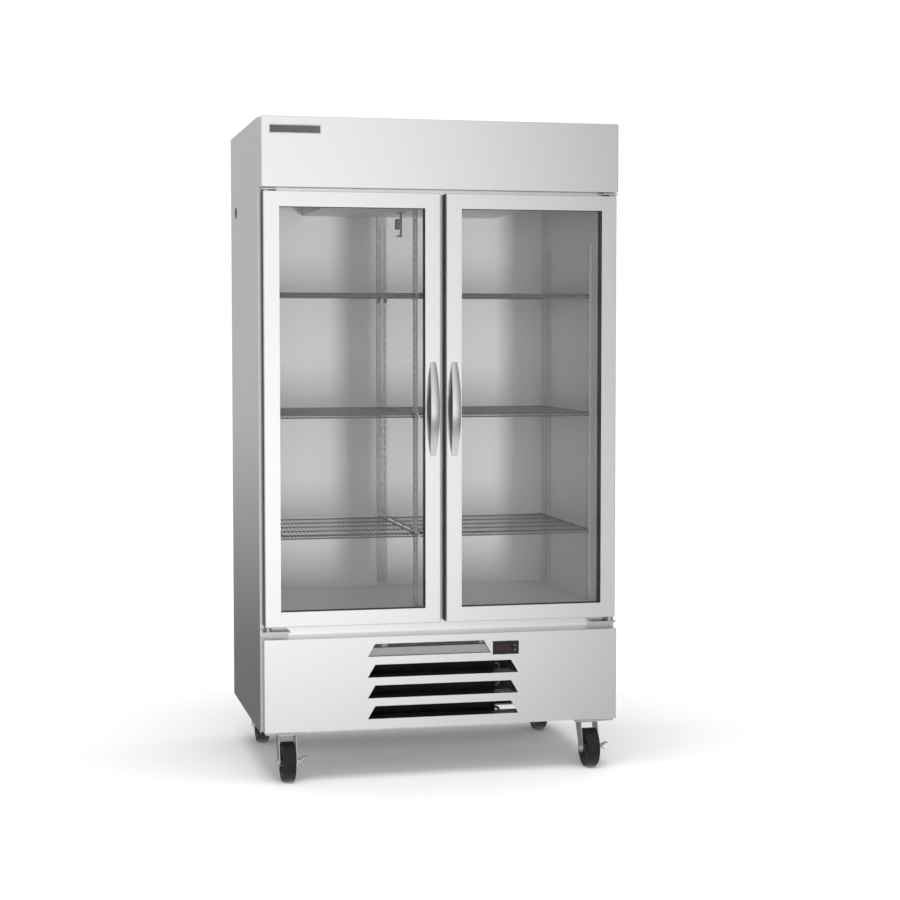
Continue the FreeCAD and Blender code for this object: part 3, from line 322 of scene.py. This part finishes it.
# Each line gives the dark and the light colour, the roughness, the pebbles in a metre and their depth.
dark_profile = moulded("dark_profile", (0.009, 0.0095, 0.01), (0.028, 0.029, 0.03), 0.5, 900, 0.0001)
seal_rubber = moulded("seal_rubber", (0.01, 0.01, 0.01), (0.03, 0.03, 0.03), 0.7, 500, 0.0001)
black_plastic = moulded("black_plastic", (0.004, 0.004, 0.0045), (0.014, 0.014, 0.0145), 0.4, 800, 0.00008)
key_rubber = moulded("key_rubber", (0.03, 0.031, 0.032), (0.07, 0.072, 0.074), 0.6, 700, 0.00005)
fan_plastic = moulded("fan_plastic", (0.04, 0.04, 0.045), (0.1, 0.1, 0.105), 0.55, 700, 0.00008)
motor_enamel = moulded("motor_enamel", (0.03, 0.03, 0.032), (0.09, 0.09, 0.092), 0.35, 220, 0.0002)
probe_plastic = moulded("probe_plastic", (0.16, 0.165, 0.17), (0.3, 0.31, 0.32), 0.5, 700, 0.00005)
wheel_rubber = moulded("wheel_rubber", (0.004, 0.004, 0.0045), (0.012, 0.012, 0.0125), 0.5, 420, 0.00012)
hub_plastic = moulded("hub_plastic", (0.012, 0.012, 0.013), (0.035, 0.035, 0.036), 0.42, 600, 0.0001)
screen_window = moulded("screen_window", (0.007, 0.002, 0.002), (0.016, 0.004, 0.004), 0.12, 300, 0.00001)
print("moulded finishes ready")

# %% Dull ones
DULL = 0.3
for dull in (screen_window, black_plastic, wheel_rubber):
    dull.node_tree.nodes["Principled BSDF"].inputs["Specular IOR Level"].default_value = DULL
    print(dull.name, "mirrors less")

# %% [markdown]
# ## Zinc plate, wire coating, fins and foam
# Casters, clips and hinges are pressed steel with a thin bright zinc plate, slightly cloudy. Shelf
# wire is coated in grey. The coils are packs of thin fins, and the foam is a fine closed foam.
#
# %% Zinc, wire and the rest
def plated(name, dark, light, rough_low, rough_high, metal=1.0):
    """Thin metal plate with a cloudy gloss."""
    kit = finish(name, light, metal, rough_low)
    smoke = mixed(kit, cloud(kit, 30, 4), cloud(kit, 240, 3), 0.4)
    tint(kit, smoke, dark, light)
    drive(kit, ranged(kit, smoke, rough_low, rough_high), "Roughness")
    relief(kit, cloud(kit, 500, 2), 0.00005, 0.3)
    return kit["material"]


# Each line gives the dark and the light colour, the two ends of the roughness, and how metallic it is.
zinc_plate = plated("zinc_plate", (0.52, 0.53, 0.54), (0.80, 0.81, 0.82), 0.24, 0.42)
wire_coat = plated("wire_coat", (0.15, 0.151, 0.152), (0.26, 0.262, 0.264), 0.3, 0.45, 0.5)
strip_steel = plated("strip_steel", (0.56, 0.562, 0.565), (0.68, 0.683, 0.686), 0.35, 0.5, 0.4)
bracket_paint = plated("bracket_paint", (0.22, 0.222, 0.225), (0.32, 0.322, 0.325), 0.4, 0.55, 0.5)
badge_metal = plated("badge_metal", (0.66, 0.67, 0.68), (0.80, 0.81, 0.82), 0.28, 0.4)
# The condenser fins are coloured very dark.
fin_metal = plated("fin_metal", (0.08, 0.082, 0.085), (0.17, 0.172, 0.176), 0.4, 0.6)
foam_block = plated("foam_block", (0.52, 0.50, 0.45), (0.66, 0.64, 0.58), 0.85, 0.95, 0.0)
print("plated finishes ready")

# %% [markdown]
# ## Giving the nodes their finishes
# The record names a material slot for each node. One table turns slot names into finishes, and a
# loop puts them on, so no node is forgotten.
#
# %% Finishes on the nodes
FINISHES = {
    "stainless": front_steel,
    "steel_side": side_steel_painted_shade,
    "handle_metal": handle_steel,
    "galvanised": galvanised_sheet,
    "liner": liner_sheet,
    "foam": foam_block,
    "dark_frame": dark_profile,
    "gasket": seal_rubber,
    "pane": door_glass,
    "black_plastic": black_plastic,
    "screen": screen_window,
    "key": key_rubber,
    "badge": badge_metal,
    "shelf_wire": wire_coat,
    "strip_steel": strip_steel,
    "zinc": zinc_plate,
    "bracket_paint": bracket_paint,
    "tyre": wheel_rubber,
    "coil_fins": fin_metal,
    "blade": fan_plastic,
    "motor": motor_enamel,
    "probe": probe_plastic,
}


def dress(thing, material):
    """Puts one finish on the whole of a thing."""
    thing.data.materials.clear()
    thing.data.materials.append(material)


for part in frame["record"]["subparts"]:
    dress(frame["nodes"][part["node"]], FINISHES[part["material_slot"]])
for hand in ("left", "right"):
    dress(frame["nodes"][f"{hand}_handle_plate"], shaded_steel)

# %% [markdown]
# ## Working by hand, in code
# Each new piece starts as a primitive and is shaped in edit mode, and most end with a bevel. These
# helpers choose faces or points by where they are, round the corners, and hand the piece to its body.
#
# %% Choosing and rounding
# A face whose unit normal reaches this far along an axis is taken to face that way.
FACING = 0.9


def choose(piece, kind, test):
    """In edit mode, selects just the faces or points that pass a test on their place."""
    bpy.ops.mesh.select_mode(type=kind)
    bpy.ops.mesh.select_all(action="DESELECT")
    bpy.ops.object.mode_set(mode="OBJECT")
    mesh = piece.data
    if kind == "FACE":
        for face in mesh.polygons:
            face.select = bool(test(face.center, face.normal))
    elif kind == "VERT":
        for point in mesh.vertices:
            point.select = bool(test(point.co))
    bpy.ops.object.mode_set(mode="EDIT")


# Edges that turn more than the first angle are rounded, and those under the second are shaded smooth.
ROUND_ABOVE = math.radians(32)
SMOOTH_BELOW = math.radians(40)


def rounded(piece, width, segments):
    """Rounds the sharp edges and smooths the shading between them."""
    bevel = piece.modifiers.new("Rounding", "BEVEL")
    bevel.width = width
    bevel.segments = segments
    bevel.limit_method = "ANGLE"
    bevel.angle_limit = ROUND_ABOVE
    bpy.ops.object.modifier_apply(modifier=bevel.name)
    bpy.ops.object.shade_smooth_by_angle(angle=SMOOTH_BELOW)


def hand_over(piece, body, slot, material, *nodes):
    """Gives a finished piece its finish and its body, and hides the nodes that it stands for."""
    bpy.ops.object.select_all(action="DESELECT")
    dress(piece, material)
    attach(piece, body)
    if nodes:
        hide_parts(*nodes)


# %% [markdown]
# ## Door handles
# Each door has a bowed strap: a flat bar bent along an arc, wider in the middle than at its ends.
# A small rectangle is spun about a far-off centre to make the arc, and then each ring of points is
# widened a little more the nearer it is to the middle.
#
# %% Bowed strap
STRAP = 0.0035
STRAP_ENDS = 0.019
STRAP_MIDDLE = 0.029
RINGS = 28
NEAR_A_RING = 0.006


def bowed_handle(hand):
    """One handle, spun from a flat section. Gives the piece, the arc's centre and half its height."""
    low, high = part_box(f"{hand}_door_handle")
    half = (high[2] - low[2]) / 2
    bow = high[1] - low[1]
    centre = middle_of(f"{hand}_door_handle")
    arc = (half ** 2 + bow ** 2) / (2 * bow)
    turn = math.asin(half / arc)
    hub = Vector((centre.x, low[1] + arc, centre.z))
    bpy.ops.mesh.primitive_plane_add(size=1, location=(hub.x, hub.y - arc + STRAP / 2, hub.z))
    piece = bpy.context.object
    piece.name = f"{hand}_bowed_handle"
    piece.scale = (STRAP_ENDS, STRAP, 1)
    bpy.ops.object.transform_apply(location=True, rotation=True, scale=True)
    bpy.ops.object.mode_set(mode="EDIT")
    bpy.ops.mesh.select_all(action="SELECT")
    bpy.ops.transform.rotate(value=turn, orient_axis="X", center_override=hub)
    bpy.ops.mesh.spin(steps=RINGS, angle=-2 * turn, center=hub, axis=(1, 0, 0))
    bpy.ops.object.mode_set(mode="OBJECT")
    return piece, hub, half


# %% Widening it
def widened(handle, hub, half):
    """Widens each ring of the strap, most in the middle."""
    arc = max((point.co - hub).length for point in handle.data.vertices)
    sweep = math.asin(half / arc)
    bpy.ops.object.mode_set(mode="EDIT")
    for ring in range(RINGS + 1):
        share = 2 * ring / RINGS - 1
        angle = share * sweep
        choose(handle, "VERT",
               lambda point: abs(math.atan2(point.z - hub.z, hub.y - point.y) - angle) < NEAR_A_RING)
        wide = 1 + (STRAP_MIDDLE / STRAP_ENDS - 1) * (1 - share ** 2)
        bpy.ops.transform.resize(value=(wide, 1, 1), center_override=hub)
    bpy.ops.mesh.select_all(action="SELECT")
    bpy.ops.mesh.normals_make_consistent(inside=False)
    bpy.ops.object.mode_set(mode="OBJECT")


# %% Two handles
for hand in ("left", "right"):
    handle, hub, half = bowed_handle(hand)
    widened(handle, hub, half)
    rounded(handle, width=0.0012, segments=3)
    hand_over(handle, f"{hand}_door", "handle_metal", handle_steel, f"{hand}_door_handle")
    print(handle.name, len(handle.data.polygons), "faces")

# %% [markdown]
# ## Name plate
# The plate on the header is stamped: a bright narrow border stands round a darker, finely grained
# field. A block's front face is inset for the border and pushed back for the field, and that one face
# takes a second finish.
#
# %% Stamped plate
BORDER = 0.003
SUNK = 0.0006
plate_field = plated("plate_field", (0.10, 0.102, 0.105), (0.17, 0.172, 0.175), 0.35, 0.5, 0.8)
bpy.ops.mesh.primitive_cube_add(size=1, location=middle_of("nameplate"))
plate = bpy.context.object
plate.name = "stamped_plate"
plate.scale = size_of("nameplate")
bpy.ops.object.transform_apply(location=True, rotation=True, scale=True)
bpy.ops.object.mode_set(mode="EDIT")
choose(plate, "FACE", lambda middle, normal: normal.y < -FACING)
bpy.ops.mesh.inset(thickness=BORDER)
bpy.ops.transform.translate(value=(0, SUNK, 0))
bpy.ops.object.mode_set(mode="OBJECT")
rounded(plate, width=0.0003, segments=2)
hand_over(plate, "cabinet", "badge", badge_metal, "nameplate")
plate.data.materials.append(plate_field)
fronts = [face for face in plate.data.polygons if face.normal.y < -FACING]
field = max(fronts, key=lambda face: face.area)
field.material_index = 1
print(plate.name, len(plate.data.polygons), "faces")

# %% [markdown]
# ## Wheels
# A caster wheel is a black elastic tyre on a moulded hub. The tyre starts as a wide cylinder on its
# side. Both end faces are inset to leave the tyre's wall, and pushed in to leave room for the hub.
# The hub is a smaller cylinder worked in the same way: insets leave a rim, and a boss round the axle,
# and the web between them is pushed in.
#
# %% Turning a cylinder into a wheel
WHEEL_SIDES = 72
ON_THE_AXLE = 0.001


def lying_cylinder(name, centre, radius, width):
    """A cylinder whose axis runs from side to side."""
    bpy.ops.mesh.primitive_cylinder_add(vertices=WHEEL_SIDES, radius=radius, depth=width,
                                        location=centre, rotation=(0, math.pi / 2, 0))
    piece = bpy.context.object
    piece.name = name
    bpy.ops.object.transform_apply(location=True, rotation=True, scale=True)
    bpy.ops.object.mode_set(mode="EDIT")
    return piece


def dish(piece, centre, side, steps):
    """Works one end of a lying cylinder: each step insets the end face, then moves it inwards."""
    for inset, push in steps:
        choose(piece, "FACE", lambda middle, normal: normal.x * side > FACING
               and (Vector(middle) - centre).yz.length < ON_THE_AXLE)
        bpy.ops.mesh.inset(thickness=inset)
        bpy.ops.transform.translate(value=(-side * push, 0, 0))


# %% Tyre and hub
# Each step is how far the end face is inset, and how far it is then pushed in, or out if negative.
TYRE_STEPS = ((0.006, 0), (0.002, 0.0012), (0.007, 0), (0.0005, 0.006))
HUB_STEPS = ((0.005, 0), (0.003, 0.010), (0.022, 0), (0.002, -0.012), (0.0015, -0.003))
TYRE_WIDTH = 0.041
HUB_WIDTH = 0.036
TYRE_WALL = 0.0156


def dished(name, centre, radius, width, steps, rounding):
    """A lying cylinder with both ends worked alike, and its corners rounded."""
    piece = lying_cylinder(name, centre, radius, width)
    for side in (-1, 1):
        dish(piece, centre, side, steps)
    bpy.ops.mesh.select_all(action="SELECT")
    bpy.ops.mesh.normals_make_consistent(inside=False)
    bpy.ops.object.mode_set(mode="OBJECT")
    rounded(piece, width=rounding, segments=4)
    return piece


for name in ("front_left", "front_right", "rear_left", "rear_right"):
    centre = middle_of(f"{name}_wheel")
    radius = size_of(f"{name}_wheel").z / 2
    tyre = dished(f"{name}_tyre", centre, radius, TYRE_WIDTH, TYRE_STEPS, rounding=0.0032)
    hub_disc = dished(f"{name}_hub", centre, radius - TYRE_WALL, HUB_WIDTH, HUB_STEPS, rounding=0.0008)
    hand_over(tyre, f"{name}_roller", "tyre", wheel_rubber, f"{name}_wheel")
    hand_over(hub_disc, f"{name}_roller", "black_plastic", hub_plastic)
print("four wheels,", len(tyre.data.polygons), "faces a tyre")

# %% [markdown]
# ## Door seals
# A cold cabinet's door shuts on a soft seal with a folded, ribbed section, so that it can give. A flat
# sheet of the seal's outline is inset again and again, and each new ring is pushed back or forward in
# turn, which folds the ribs. The middle is then opened, and the fold gets the thickness of rubber.
#
# %% Ribbed seals
RUBBER = 0.0016
SEAL_WIDTH = 0.020
FOLDS = 8


def ribbed_seal(hand):
    """One door's seal, folded inside the seal's own box."""
    low, high = (Vector(corner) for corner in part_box(f"{hand}_door_gasket"))
    middle = (low + high) / 2
    bpy.ops.mesh.primitive_plane_add(size=1, location=(middle.x, low.y + RUBBER, middle.z),
                                     rotation=(math.pi / 2, 0, 0))
    piece = bpy.context.object
    piece.name = f"{hand}_ribbed_seal"
    piece.scale = (high.x - low.x - RUBBER, high.z - low.z - RUBBER, 1)
    bpy.ops.object.transform_apply(location=True, rotation=True, scale=True)
    bpy.ops.object.mode_set(mode="EDIT")
    bpy.ops.mesh.select_all(action="SELECT")
    rise = high.y - low.y - 2 * RUBBER
    for fold in range(FOLDS):
        bpy.ops.mesh.inset(thickness=(SEAL_WIDTH - RUBBER) / FOLDS)
        bpy.ops.transform.translate(value=(0, rise if fold % 2 == 0 else -rise, 0))
    bpy.ops.mesh.delete(type="FACE")
    bpy.ops.object.mode_set(mode="OBJECT")
    wall = piece.modifiers.new("Rubber", "SOLIDIFY")
    wall.thickness = RUBBER
    wall.offset = 0
    bpy.ops.object.modifier_apply(modifier=wall.name)
    bpy.ops.object.mode_set(mode="EDIT")
    bpy.ops.mesh.select_all(action="SELECT")
    bpy.ops.mesh.normals_make_consistent(inside=False)
    bpy.ops.object.mode_set(mode="OBJECT")
    rounded(piece, width=0.0004, segments=2)
    return piece


for hand in ("left", "right"):
    seal = ribbed_seal(hand)
    hand_over(seal, f"{hand}_door", "gasket", seal_rubber, f"{hand}_door_gasket")
    print(seal.name, len(seal.data.polygons), "faces")

# %% [markdown]
# ## Condenser
# Behind the louvres stands the condenser: a long tube that runs to and fro through a stack of thin
# pleated fins. One fin is a narrow grid whose columns are pushed apart in turn to make pleats, and it
# is repeated along the coil. The tube is one ring of points, drawn out along each run and spun half
# round at each end. Both are coloured very dark.
#
# %% Fins
END_ROOM = 0.018
FIN_PITCH = 0.004
FIN_SHEET = 0.0004
PLEATS = 6
PLEAT_DEPTH = 0.0012
coil_low, coil_high = (Vector(corner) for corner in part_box("condenser_coil"))
coil_middle = (coil_low + coil_high) / 2
coil_depth = coil_high.y - coil_low.y
run_length = coil_high.x - coil_low.x - 2 * END_ROOM
bpy.ops.mesh.primitive_grid_add(x_subdivisions=PLEATS, y_subdivisions=1, size=1,
                                location=(coil_low.x + END_ROOM, coil_middle.y, coil_middle.z),
                                rotation=(math.pi / 2, 0, math.pi / 2))
fins = bpy.context.object
fins.name = "condenser_fins"
fins.scale = (coil_depth, coil_high.z - coil_low.z, 1)
bpy.ops.object.transform_apply(location=True, rotation=True, scale=True)
bpy.ops.object.mode_set(mode="EDIT")
choose(fins, "VERT", lambda point: round((point.y - coil_low.y) / (coil_depth / PLEATS)) % 2 == 1)
bpy.ops.transform.translate(value=(PLEAT_DEPTH, 0, 0))
bpy.ops.object.mode_set(mode="OBJECT")

# %% A stack of them
sheet = fins.modifiers.new("Sheet", "SOLIDIFY")
sheet.thickness = FIN_SHEET
stack = fins.modifiers.new("Stack", "ARRAY")
stack.use_relative_offset = False
stack.use_constant_offset = True
stack.constant_offset_displace = (FIN_PITCH, 0, 0)
stack.count = int(run_length / FIN_PITCH)
for modifier in (sheet.name, stack.name):
    bpy.ops.object.modifier_apply(modifier=modifier)
hand_over(fins, "cabinet", "coil_fins", fin_metal, "condenser_coil")
print(fins.name, len(fins.data.polygons), "faces")

# %% The long tube
RUNS = 10
TUBE_RADIUS = 0.0045
TUBE_SIDES = 12
BEND_STEPS = 6
# The condenser tube is coloured very dark.
dark_tube_colour = plated("dark_tube_colour", (0.04, 0.041, 0.043), (0.08, 0.082, 0.085), 0.4, 0.55, 0.3)
run_gap = (coil_high.z - coil_low.z) / RUNS
start = Vector((coil_low.x + END_ROOM, coil_middle.y, coil_low.z + run_gap / 2))
bpy.ops.mesh.primitive_circle_add(vertices=TUBE_SIDES, radius=TUBE_RADIUS, location=start,
                                  rotation=(0, math.pi / 2, 0))
tube = bpy.context.object
tube.name = "condenser_tube"
bpy.ops.object.transform_apply(location=True, rotation=True, scale=True)
bpy.ops.object.mode_set(mode="EDIT")
bpy.ops.mesh.select_all(action="SELECT")
for run in range(RUNS):
    way = 1 if run % 2 == 0 else -1
    bpy.ops.mesh.extrude_region_move(TRANSFORM_OT_translate={"value": (way * run_length, 0, 0)})
    if run < RUNS - 1:
        bend = start + Vector((run_length if way == 1 else 0, 0, (run + 0.5) * run_gap))
        bpy.ops.mesh.spin(steps=BEND_STEPS, angle=way * math.pi, center=bend, axis=(0, 1, 0))

# %% Closing the tube
bpy.ops.mesh.select_all(action="SELECT")
bpy.ops.mesh.remove_doubles(threshold=0.0001)
bpy.ops.mesh.select_all(action="DESELECT")
bpy.ops.mesh.select_non_manifold()
bpy.ops.mesh.fill()
bpy.ops.mesh.select_all(action="SELECT")
bpy.ops.mesh.normals_make_consistent(inside=False)
bpy.ops.object.mode_set(mode="OBJECT")
bpy.ops.object.shade_smooth_by_angle(angle=SMOOTH_BELOW)
hand_over(tube, "cabinet", "coil_fins", dark_tube_colour, "condenser_coil")
print(tube.name, len(tube.data.polygons), "faces, box", [round(side, 3) for side in tube.dimensions])

# %% [markdown]
# ## Camera
# The camera stands at eye height, well back and to the object's left, with a long lens. It dips a
# little towards the floor and turns a little towards the object.
#
# %% Camera
LENS = 78.29
SENSOR = 36
STANDPOINT = (-1.3928, -6.5935, 1.4396)
DIP = 3.30
TURN = 12.82
camera_data = bpy.data.cameras.new("camera")
camera_data.lens = LENS
camera_data.sensor_width = SENSOR
camera = bpy.data.objects.new("camera", camera_data)
bpy.context.collection.objects.link(camera)
camera.location = STANDPOINT
camera.rotation_euler = (math.radians(90 - DIP), 0, math.radians(-TURN))
bpy.context.scene.camera = camera
print("lens", LENS, "mm")

# %% [markdown]
# ## Floor and lights
# A pale round floor fades out at its rim into a white background. Three very large soft lights do the
# work: a strong one overhead, a low and far one that reaches in through the doors, and a weak one in
# front that lifts the shadows. Steel mirrors whatever stands about it, so lights and floor are left
# out of its reflections, and the room that it mirrors is painted separately, in the next step.
#
# %% Floor
FLOOR_RADIUS = 2.1
FADE_START = 0.8
FADE_STOP = 1.9


def fading_paper():
    """Pale paper that grows clear towards its rim."""
    kit = finish("floor_paper", (0.93, 0.93, 0.93), 0, 0.9)
    distance = kit["tree"].nodes.new("ShaderNodeVectorMath")
    distance.operation = "LENGTH"
    kit["tree"].links.new(kit["place"], distance.inputs[0])
    rim = ranged(kit, distance.outputs["Value"], 1, 0, FADE_START, FADE_STOP)
    rim.node.interpolation_type = "SMOOTHSTEP"
    drive(kit, rim, "Alpha")
    tint(kit, cloud(kit, 300, 2), (0.95, 0.95, 0.95), (0.98, 0.98, 0.98))
    return kit["material"]


bpy.ops.mesh.primitive_circle_add(vertices=128, radius=FLOOR_RADIUS, fill_type="NGON",
                                  location=(0, 0, 0))
floor = bpy.context.object
floor.name = "floor"
dress(floor, fading_paper())
floor.visible_glossy = False
print(floor.name, FLOOR_RADIUS, "m in radius")

# %% Soft lights
def soft_light(name, place, aim, width, height, power):
    """A large rectangular light that neither the camera nor the steel sees."""
    data = bpy.data.lights.new(name, "AREA")
    data.shape = "RECTANGLE"
    data.size = width
    data.size_y = height
    data.energy = power
    lamp = bpy.data.objects.new(name, data)
    bpy.context.collection.objects.link(lamp)
    lamp.location = place
    lamp.rotation_euler = (Vector(aim) - Vector(place)).to_track_quat("-Z", "Y").to_euler()
    lamp.visible_camera = False
    lamp.visible_glossy = False
    print(lamp.name, power, "W")


DOORS_MIDDLE = (0, 0, 1.15)
soft_light("top", place=(0, -1.0, 5.5), aim=(0, 0, 0), width=5, height=5, power=235)
soft_light("window", place=(5.1, -25, -1.9), aim=DOORS_MIDDLE, width=2.4, height=5, power=3900)
soft_light("fill", place=(0, -6, 1.2), aim=DOORS_MIDDLE, width=4, height=3, power=165)

# %% [markdown]
# ## The room in the steel
# A plain white room would leave steel flat. What a panel mirrors depends on the direction it looks
# in, so the room is painted by direction: X from left to right, Y from front to back, Z upwards. The
# doors and the header mirror the front, which fades from bright to grey towards the right. The side
# mirrors what lies behind, which darkens towards the floor. The camera itself sees plain white.
#
# %% Directions
world = bpy.data.worlds.new("studio")
world.use_nodes = True
room = {"tree": world.node_tree}
direction = room["tree"].nodes.new("ShaderNodeTexCoord")
axes = room["tree"].nodes.new("ShaderNodeSeparateXYZ")
room["tree"].links.new(direction.outputs["Generated"], axes.inputs["Vector"])
across, back, upright = (axes.outputs[axis] for axis in "XYZ")


def combined(operation, first, second):
    """Two brightnesses put together by one operation."""
    step = room["tree"].nodes.new("ShaderNodeMath")
    step.operation = operation
    room["tree"].links.new(first, step.inputs[0])
    room["tree"].links.new(second, step.inputs[1])
    return step.outputs["Value"]


# %% In front
# Each fade is an axis, the brightness at its two ends, and where on the axis those ends are.
front = ranged(room, across, 1.20, 0.22, 0.15, 0.365)
front.node.interpolation_type = "SMOOTHSTEP"
FRONT_FADES = (
    (across, 0.62, 1.0, -0.12, 0.13),
    (upright, 1.62, 1.0, -0.13, 0.07),
    (upright, 0.15, 1.0, -0.26, -0.15),
    (upright, 1.0, 0.8, 0.15, 0.6),
)
for fade in FRONT_FADES:
    front = combined("MULTIPLY", front, ranged(room, *fade))
print(len(FRONT_FADES) + 1, "fades in front")

# %% Behind and below
behind = ranged(room, upright, 0.18, 0.62, -0.15, -0.04)
nearness = ranged(room, back, 1, 0, -0.6, 0.1)
walls = mixed(room, behind, front, 0.5)
room["tree"].links.new(nearness, walls.node.inputs["Factor"])
ground = ranged(room, upright, 0.8, 0.0, -0.6, -0.33)
around = combined("MAXIMUM", walls, ground)

# %% White for the camera
BACKGROUND = 1.05
seen = room["tree"].nodes.new("ShaderNodeLightPath")
pick = room["tree"].nodes.new("ShaderNodeMix")
pick.inputs[MIX_SECOND].default_value = BACKGROUND
room["tree"].links.new(seen.outputs["Is Camera Ray"], pick.inputs["Factor"])
room["tree"].links.new(around, pick.inputs[MIX_FIRST])
backdrop = room["tree"].nodes["Background"]
backdrop.inputs["Color"].default_value = (1, 1, 1, 1)
room["tree"].links.new(pick.outputs[MIX_RESULT], backdrop.inputs["Strength"])
bpy.context.scene.world = world
bpy.context.scene.view_settings.view_transform = "Standard"
print("studio ready")
